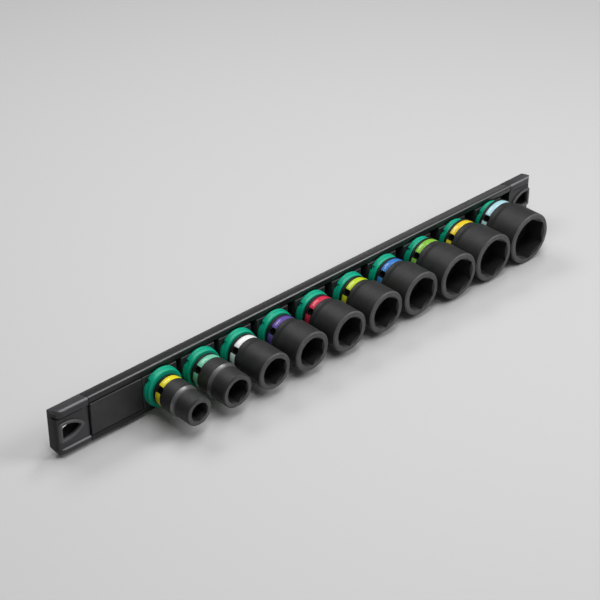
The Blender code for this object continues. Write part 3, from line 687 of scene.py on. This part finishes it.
def eased_profile(points):
    """Profile of (radius, height, ease) points with an arc of that radius at each eased corner."""
    eased = []
    for index, (radius, height, ease) in enumerate(points):
        corner = Vector((radius, height))
        if not ease:
            eased.append(corner)
            continue
        before = (Vector(points[index - 1][:2]) - corner).normalized()
        after = (Vector(points[index + 1][:2]) - corner).normalized()
        half_angle = before.angle(after) / 2
        centre = corner + (before + after).normalized() * ease / math.sin(half_angle)
        first = corner + before * ease / math.tan(half_angle) - centre
        last = corner + after * ease / math.tan(half_angle) - centre
        for step in range(ARC_STEPS + 1):
            arm = first.lerp(last, step / ARC_STEPS)
            eased.append(centre + arm.normalized() * ease)
    return eased


def turned(name, points, sides=96):
    """A turned piece: a disc that is extruded and resized from ring to ring along its profile."""
    profile = eased_profile(points)
    radius, height = profile[0]
    bpy.ops.mesh.primitive_circle_add(vertices=sides, radius=radius, fill_type="NGON",
                                      location=(0, 0, height))
    piece = bpy.context.object
    piece.name = name
    bpy.ops.object.transform_apply(location=True, rotation=True, scale=True)
    start_edit(piece)
    for wide, high_up in profile[1:]:
        bpy.ops.mesh.extrude_region_move(TRANSFORM_OT_translate={"value": (0, 0, high_up - height)})
        bpy.ops.transform.resize(value=(wide / radius, wide / radius, 1), center_override=(0, 0, high_up))
        radius, height = wide, high_up
    end_edit()
    return piece


def cross_rod(radius, inner, outer, height, angle, sides=48):
    """A rod across the station's axis, from inner to outer along the angle, to cut with."""
    bpy.ops.mesh.primitive_cylinder_add(vertices=sides, radius=radius, depth=outer - inner,
                                        rotation=(0, math.radians(90), 0))
    rod = bpy.context.object
    bpy.ops.object.transform_apply(location=True, rotation=True, scale=True)
    rod.location = Vector((math.cos(angle), math.sin(angle), 0)) * (inner + outer) / 2
    rod.location.z = height
    rod.rotation_euler.z = angle
    bpy.ops.object.transform_apply(location=True, rotation=True, scale=True)
    return rod


post_finish = new_finish("green_plastic", GREEN, 0.38)
set_specular(post_finish, GREEN_SPECULAR)
vary_colour(post_finish, noise_on(post_finish, 110), GREEN_DARK, GREEN_LIGHT)
vary_roughness(post_finish, noise_on(post_finish, 380), 0.33, 0.46)
add_relief(post_finish, noise_on(post_finish, 3000), POST_GRAIN)

flange_front = COLLAR_BACK + FLANGE_THICKNESS
pattern = turned("post_pattern", [
    (HEAD_RADIUS - HEAD_LEAD, HEAD_BACK, 0), (HEAD_RADIUS, HEAD_BACK, HEAD_EDGE),
    (HEAD_RADIUS, HEAD_FRONT, HEAD_HEEL), (STEM_RADIUS, HEAD_FRONT, 0), (STEM_RADIUS, COLLAR_BACK, 0),
    (FLANGE_RADIUS, COLLAR_BACK, POST_FLANGE_EDGE), (FLANGE_RADIUS, flange_front, POST_FLANGE_EDGE),
    (COLLAR_RADIUS, flange_front, 0), (COLLAR_RADIUS, COLLAR_FRONT, COLLAR_EDGE),
    (COLLAR_RADIUS - 2 * COLLAR_EDGE, COLLAR_FRONT, 0)])
square = block((SQUARE_SIDE, SQUARE_SIDE, SQUARE_TIP - COLLAR_BACK),
               (0, 0, (SQUARE_TIP + COLLAR_BACK) / 2), PIN_ANGLE)
start_edit(square)
round_edges(lambda middle, edge: runs_along(edge, 2), SQUARE_EDGE, 4)
round_edges(lambda middle, edge: all(near(corner.co.z, SQUARE_TIP) for corner in edge.verts),
            SQUARE_TIP_EDGE, 4)
end_edit()
cut_with(pattern, square, "UNION")
notch = block((2 * NOTCH_DEPTH, NOTCH_WIDTH, FLANGE_THICKNESS + OVERRUN),
              (FLANGE_RADIUS, 0, flange_front - (FLANGE_THICKNESS + OVERRUN) / 2), NOTCH_ANGLE)
cut_with(pattern, notch)
cut_with(pattern, cross_rod(BALL_RADIUS + BALL_FIT, BALL_CENTRE - BALL_RADIUS - 2 * BALL_FIT, SQUARE_SIDE,
                            BALL_HEIGHT, PIN_ANGLE + math.pi))
for count, x in enumerate(stations, 1):
    post = copy_of(pattern, f"green_post_{count:02d}")
    stand_up(post, x)
    place(post, post_finish, f"twist_post_{count:02d}", f"post_{count:02d}")
bpy.data.objects.remove(pattern)

# A hardened steel ball sits in the flank of each square, behind a spring, and clicks into the pin
# hole of the socket. It is polished, with a faint track where it rubs on the drive.
STEEL = (0.56, 0.57, 0.58)

ball_finish = new_finish("polished_steel", STEEL, 0.16, 1.0)
vary_roughness(ball_finish, noise_on(ball_finish, 500, (1, 6, 1)), 0.12, 0.30)
bpy.ops.mesh.primitive_uv_sphere_add(segments=32, ring_count=16, radius=BALL_RADIUS)
pattern = bpy.context.object
pattern.location = Vector((math.cos(PIN_ANGLE), math.sin(PIN_ANGLE), 0)) * -BALL_CENTRE
pattern.location.z = BALL_HEIGHT
bpy.ops.object.transform_apply(location=True, rotation=True, scale=True)
for count, x in enumerate(stations, 1):
    ball = copy_of(pattern, f"steel_ball_{count:02d}")
    stand_up(ball, x)
    place(ball, ball_finish, f"lock_ball_{count:02d}", f"post_{count:02d}")
bpy.data.objects.remove(pattern)

# The impact sockets are forged and turned in alloy steel and blackened with phosphate. Each has a
# hexagon mouth with a lead-in, a square drive with a pin hole, and a groove for its size ring.
HEX_SIZES = [10 * MM, 13 * MM, 15 * MM, 16 * MM, 17 * MM, 18 * MM, 19 * MM, 21 * MM, 22 * MM, 24 * MM]
CORNER_WALLS = [2.8 * MM, 2.6 * MM, 2.6 * MM, 3.0 * MM, 2.95 * MM,
                2.85 * MM, 2.9 * MM, 2.7 * MM, 2.7 * MM, 2.7 * MM]
SOCKET_BASE = 14.3 * MM
SHORT_SOCKET = 28.2 * MM
WEAR_AND_SHEEN_RUN = 3.2 * MM
DRIVE_SQUARE = 9.7 * MM
DRIVE_DEPTH = 11.0 * MM
HEX_DEPTH_SHARE = 0.43
WEB_HOLE_RADIUS = 3.0 * MM
LEAD_IN_SHARE = 1.12
LEAD_IN_DEPTH = 1.0 * MM
FACE_EDGE = 0.68 * MM
FACE_EASE = 0.07 * MM
BASE_EDGE = 0.8 * MM
STEP_DOWN_SHARE = 0.54
STEP_DEPTH = 0.8 * MM
STEP_LENGTH = 4.6 * MM
FLARE_SHARE = 0.32
SHOULDER_LENGTH = 2.4 * MM
SHOULDER_EASE = 3.8 * MM
STEP_EASE = 0.3 * MM
RING_FROM_BASE = 2.1 * MM
RING_WIDTH = 3.9 * MM
RING_THICKNESS = 0.6 * MM
FIT = 0.3 * MM
PIN_FROM_BASE = 4.7 * MM
PIN_RADIUS = 1.6 * MM
COUNTERBORE_RADIUS = 2.2 * MM
COUNTERBORE_DEPTH = 2.6 * MM
HEX_EDGE = 0.45 * MM
NECK_STEPS = 8
FACES_FRONT = 0.99
LEANS_FRONT = 0.5
PHOSPHATE = (0.017, 0.017, 0.017)
PAINTED_LIGHT_FACE_GREY = (0.085, 0.085, 0.085)
NEAR_BLACK = (0.004, 0.004, 0.004)
WEAR_AND_SHEEN_STEEL = (0.19, 0.19, 0.19)
PHOSPHATE_SPECULAR = 0.38
PHOSPHATE_GRAIN = 0.012 * MM
DARKER_SHARE = 0.8
LIGHTER_SHARE = 1.2


def phosphate(name, colour):
    """Black phosphate on forged steel: nearly even, with a fine grain and a dark foot."""
    finish = new_finish(name, colour, 0.52)
    set_specular(finish, PHOSPHATE_SPECULAR)
    darker = tuple(DARKER_SHARE * share for share in colour)
    lighter = tuple(LIGHTER_SHARE * share for share in colour)
    vary_colour(finish, noise_on(finish, 220, (1, 1, 1), 5), darker, lighter)
    vary_roughness(finish, noise_on(finish, 900), 0.46, 0.58)
    add_relief(finish, noise_on(finish, 4200, (1, 1, 1), 2), PHOSPHATE_GRAIN)
    # Near black, and rougher, on the drive end from its base to the ring.
    foot = band(finish, "Y", SOCKET_BASE + RING_FROM_BASE + TINY, SOCKET_BASE + RING_FROM_BASE)
    lay_over(finish, "Base Color", foot, NEAR_BLACK)
    lay_over(finish, "Roughness", foot, 0.6)
    return finish


socket_finish = phosphate("black_phosphate", PHOSPHATE)
# Painted light: a lighter copy of the phosphate for the front faces, standing for the light they catch from
# the front.
painted_light_face_finish = phosphate("painted_light_face", PAINTED_LIGHT_FACE_GREY)
# The two stepped sockets take a metallic band round the shoulder, lighter in colour: worn steel in part, and
# in part a painted highlight.
stepped_finish = phosphate("wear_and_sheen_phosphate", PHOSPHATE)
shoulder_start = SOCKET_BASE + STEP_DOWN_SHARE * SHORT_SOCKET
wear_and_sheen = both(stepped_finish, band(stepped_finish, "Y", shoulder_start - WEAR_AND_SHEEN_RUN / 10, shoulder_start),
            band(stepped_finish, "Y", shoulder_start + WEAR_AND_SHEEN_RUN, shoulder_start + WEAR_AND_SHEEN_RUN / 4))
lay_over(stepped_finish, "Base Color", wear_and_sheen, WEAR_AND_SHEEN_STEEL)
lay_over(stepped_finish, "Roughness", wear_and_sheen, 0.36)
lay_over(stepped_finish, "Metallic", wear_and_sheen, 0.75)
# Painted shade: a near-black copy of the phosphate for the walls of the pin holes.
pin_hole_shade_finish = phosphate("pin_hole_painted_shade", NEAR_BLACK)


def hex_prism(size, back, front):
    """A hexagon bar, its corners straight up and down, with slightly eased corners, to cut with."""
    bpy.ops.mesh.primitive_cylinder_add(vertices=6, radius=size / math.sqrt(3), depth=front - back,
                                        location=(0, 0, (front + back) / 2))
    bar = bpy.context.object
    bpy.ops.object.transform_apply(location=True, rotation=True, scale=True)
    start_edit(bar)
    round_edges(lambda middle, edge: runs_along(edge, 2), HEX_EDGE, 3)
    end_edit()
    return bar


drive_diameters = []
for count, x in enumerate(stations, 1):
    ring_low, ring_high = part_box(f"size_ring_{count:02d}")
    drive = ring_high.x - ring_low.x
    drive_diameters.append(drive)
    hex_size = HEX_SIZES[count - 1]
    body = hex_size * 2 / math.sqrt(3) + 2 * CORNER_WALLS[count - 1]
    front = -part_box(f"socket_{count:02d}")[0].y
    length = front - SOCKET_BASE
    slimmer = body < drive
    shoulder = SOCKET_BASE + length * (STEP_DOWN_SHARE if slimmer else FLARE_SHARE)
    widest = max(drive, body + 2 * STEP_DEPTH) if slimmer else drive
    ring_back = SOCKET_BASE + RING_FROM_BASE
    groove = drive / 2 - RING_THICKNESS
    if slimmer:
        steps = [part / NECK_STEPS for part in range(1, NECK_STEPS + 1)]
        neck = [(widest / 2, shoulder, STEP_EASE)] + [
            (body / 2 + (widest - body) / 2 * (1 - step) ** 2, shoulder + STEP_LENGTH * step, 0)
            for step in steps]
    else:
        neck = [(widest / 2, shoulder, SHOULDER_EASE), (body / 2, shoulder + SHOULDER_LENGTH, SHOULDER_EASE)]
    socket = turned(f"impact_socket_{count:02d}", [
        (drive / 2 - 2 * BASE_EDGE, SOCKET_BASE, 0), (drive / 2, SOCKET_BASE, BASE_EDGE),
        (drive / 2, ring_back - FIT / 3, 0), (groove, ring_back - FIT / 3, 0),
        (groove, ring_back + RING_WIDTH + FIT / 3, 0), (drive / 2, ring_back + RING_WIDTH + FIT / 3, 0),
        *neck,
        (body / 2, front - FACE_EDGE, FACE_EASE), (body / 2 - FACE_EDGE, front, FACE_EASE),
        (body / 2 - 2 * FACE_EDGE, front, 0)])
    hex_floor = front - length * HEX_DEPTH_SHARE
    cut_with(socket, hex_prism(hex_size, hex_floor, front + OVERRUN))
    mouth = hex_size / 2 * LEAD_IN_SHARE
    slope = (mouth - hex_size / 2) / LEAD_IN_DEPTH
    bpy.ops.mesh.primitive_cone_add(vertices=96, radius1=hex_size / 2 - slope * FIT,
                                    radius2=mouth + slope * OVERRUN, depth=LEAD_IN_DEPTH + FIT + OVERRUN,
                                    location=(0, 0, front + (OVERRUN - LEAD_IN_DEPTH - FIT) / 2))
    lead_in = bpy.context.object
    bpy.ops.object.transform_apply(location=True, rotation=True, scale=True)
    cut_with(socket, lead_in)
    cut_with(socket, block((DRIVE_SQUARE, DRIVE_SQUARE, DRIVE_DEPTH + OVERRUN),
                           (0, 0, SOCKET_BASE + (DRIVE_DEPTH - OVERRUN) / 2), PIN_ANGLE))
    bpy.ops.mesh.primitive_cylinder_add(vertices=48, radius=WEB_HOLE_RADIUS, depth=length,
                                        location=(0, 0, SOCKET_BASE + length / 2))
    web_hole = bpy.context.object
    bpy.ops.object.transform_apply(location=True, rotation=True, scale=True)
    cut_with(socket, web_hole)
    pin_height = SOCKET_BASE + PIN_FROM_BASE
    cut_with(socket, cross_rod(PIN_RADIUS, -drive, drive, pin_height, PIN_ANGLE))
    cut_with(socket, cross_rod(COUNTERBORE_RADIUS, drive / 2 - COUNTERBORE_DEPTH, drive, pin_height,
                               PIN_ANGLE))
    pin_way = Vector((math.cos(PIN_ANGLE), math.sin(PIN_ANGLE), 0))
    # The walls of the pin holes take the painted shade, and the front faces the painted light.
    dark_faces = []
    painted_light_faces = []
    for face in socket.data.polygons:
        is_flat = face.normal.z > FACES_FRONT and near(face.center.z, front)
        out = face.center.xy.length
        is_rim = face.normal.z > LEANS_FRONT and out > mouth and face.center.z > front - FACE_EDGE
        if is_flat or (is_rim and not slimmer):
            painted_light_faces.append(face.index)
        along = face.center.dot(pin_way)
        across = face.center - pin_way * along - Vector((0, 0, pin_height))
        in_pin_hole = across.length < COUNTERBORE_RADIUS + TINY and abs(along) > DRIVE_SQUARE / 2
        if in_pin_hole and out < groove:
            dark_faces.append(face.index)
    stand_up(socket, x)
    place(socket, stepped_finish if slimmer else socket_finish, f"socket_{count:02d}",
          f"socket_{count:02d}")
    socket.data.materials.append(pin_hole_shade_finish)
    socket.data.materials.append(painted_light_face_finish)
    for index in dark_faces:
        socket.data.polygons[index].material_index = 1
    for index in painted_light_faces:
        socket.data.polygons[index].material_index = 2

# A ring of coloured plastic snaps into the groove of each drive end and tells the size from afar.
# It is moulded with an opening for the pin hole, and each size has its own colour.
RING_COLOURS = {
    "yellow": (0.800, 0.700, 0.010), "mint": (0.180, 0.560, 0.380), "white": (0.880, 0.890, 0.890),
    "violet": (0.110, 0.065, 0.330), "red": (0.640, 0.020, 0.065), "lime_yellow": (0.530, 0.680, 0.015),
    "blue": (0.030, 0.190, 0.560), "lime_green": (0.230, 0.520, 0.035),
    "amber_yellow": (0.820, 0.600, 0.008), "ice_blue": (0.430, 0.700, 0.780)}
RING_CROWN = 0.22 * MM
RING_EDGE = 0.12 * MM
RING_PROUD = 0.05 * MM
RING_GAP = 4.2 * MM
RING_SPECULAR = 0.9
RING_DARKER_SHARE = 0.9

for count, (x, drive, (label, colour)) in enumerate(zip(stations, drive_diameters, RING_COLOURS.items()), 1):
    finish = new_finish(f"ring_{label}", colour, 0.19)
    set_specular(finish, RING_SPECULAR)
    darker = tuple(RING_DARKER_SHARE * share for share in colour)
    vary_colour(finish, noise_on(finish, 140), darker, colour)
    vary_roughness(finish, noise_on(finish, 300), 0.17, 0.22)
    back = SOCKET_BASE + RING_FROM_BASE
    outer = drive / 2
    inner = outer - RING_THICKNESS + RING_PROUD
    edge = outer - RING_CROWN
    ring = turned(f"colour_ring_{count:02d}", [
        (edge - 2 * RING_EDGE, back, 0), (edge, back, RING_EDGE), (outer, back + RING_WIDTH / 2, RING_WIDTH),
        (edge, back + RING_WIDTH, RING_EDGE), (edge - 2 * RING_EDGE, back + RING_WIDTH, 0)])
    bpy.ops.mesh.primitive_cylinder_add(vertices=96, radius=inner, depth=2 * RING_WIDTH,
                                        location=(0, 0, back + RING_WIDTH / 2))
    hole = bpy.context.object
    bpy.ops.object.transform_apply(location=True, rotation=True, scale=True)
    cut_with(ring, hole)
    gap = block((drive, RING_GAP, 2 * RING_WIDTH), (drive / 2, 0, back + RING_WIDTH / 2), PIN_ANGLE)
    cut_with(ring, gap)
    stand_up(ring, x)
    place(ring, finish, f"size_ring_{count:02d}", f"socket_{count:02d}")

# The rail is shown above a plain pale floor, at the height where the largest socket touches it.
# A long soft lamp overhead draws the light lines along the ridge and the shoulders, over highlights
# painted there; one behind lights the tops of the rings, a broad one in front opens the mouths, and
# the world fills the rest.
FLOOR_SIZE = 20.0
FLOOR_COLOUR = (0.56, 0.56, 0.56)
FLOOR_BOUNCE = (0.32, 0.32, 0.32)
KEY_PLACE = Vector((0.06, -0.08, 0.80))
KEY_SIZE = (1.10, 0.17)
KEY_POWER = 5.0
BACK_PLACE = Vector((-0.06, 0.58, 0.75))
BACK_SIZE = (0.70, 0.28)
BACK_POWER = 2.6
FRONT_PLACE = Vector((0.75, -0.72, 0.80))
FRONT_SIZE = (0.5, 0.5)
FRONT_POWER = 7.0
WORLD_GREY = 0.9
WORLD_STRENGTH = 0.20

bpy.ops.mesh.primitive_plane_add(size=FLOOR_SIZE, location=(0, 0, cad_low.z))
floor = bpy.context.object
floor.name = "pale_floor"
floor_finish = new_finish("pale_floor", FLOOR_COLOUR, 0.9)
ray = add_node(floor_finish, "ShaderNodeLightPath")
seen = add_node(floor_finish, "ShaderNodeMath", {}, operation="ADD", use_clamp=True)
seen_or_clear = add_node(floor_finish, "ShaderNodeMath", {}, operation="ADD", use_clamp=True)
floor_colour = add_node(floor_finish, "ShaderNodeMix", {}, data_type="RGBA")
floor_colour.inputs["A"].default_value = (*FLOOR_BOUNCE, 1)
floor_colour.inputs["B"].default_value = (*FLOOR_COLOUR, 1)
links = floor_finish.node_tree.links
links.new(ray.outputs["Is Camera Ray"], seen.inputs[0])
links.new(ray.outputs["Is Glossy Ray"], seen.inputs[1])
links.new(seen.outputs["Value"], seen_or_clear.inputs[0])
links.new(ray.outputs["Is Transmission Ray"], seen_or_clear.inputs[1])
links.new(seen_or_clear.outputs["Value"], floor_colour.inputs["Factor"])
floor_shader = floor_finish.node_tree.nodes["Principled BSDF"]
links.new(floor_colour.outputs["Result"], floor_shader.inputs["Base Color"])
floor.data.materials.append(floor_finish)

world = bpy.data.worlds.new("pale_studio")
world.use_nodes = True
backdrop = world.node_tree.nodes["Background"]
backdrop.inputs["Color"].default_value = (WORLD_GREY, WORLD_GREY, WORLD_GREY, 1)
backdrop.inputs["Strength"].default_value = WORLD_STRENGTH
bpy.context.scene.world = world

for name, origin, (wide, deep), power in (("overhead_lamp", KEY_PLACE, KEY_SIZE, KEY_POWER),
                                          ("back_lamp", BACK_PLACE, BACK_SIZE, BACK_POWER),
                                          ("front_lamp", FRONT_PLACE, FRONT_SIZE, FRONT_POWER)):
    bpy.ops.object.light_add(type="AREA", location=origin)
    lamp = bpy.context.object
    lamp.name = name
    lamp.data.shape = "RECTANGLE"
    lamp.data.size = wide
    lamp.data.size_y = deep
    lamp.data.energy = power
    lamp.rotation_mode = "QUATERNION"
    lamp.rotation_quaternion = origin.to_track_quat("Z", "Y")

# The camera looks at the rail from the left and from above, about a metre away, through a long
# lens. The rail runs across its frame from the lower left to the upper right.
CAMERA_PLACE = Vector((-0.55762, -0.59601, 0.53117))
CAMERA_AIM = Vector((-0.00768, 0, 0.00089))
LENS = 100.216
SENSOR_WIDTH = 36

bpy.ops.object.camera_add(location=CAMERA_PLACE)
camera = bpy.context.object
camera.data.lens = LENS
camera.data.sensor_width = SENSOR_WIDTH
camera.rotation_mode = "QUATERNION"
camera.rotation_quaternion = (CAMERA_AIM - CAMERA_PLACE).to_track_quat("-Z", "Y")
bpy.context.scene.camera = camera

bpy.context.scene.view_settings.view_transform = "Standard"
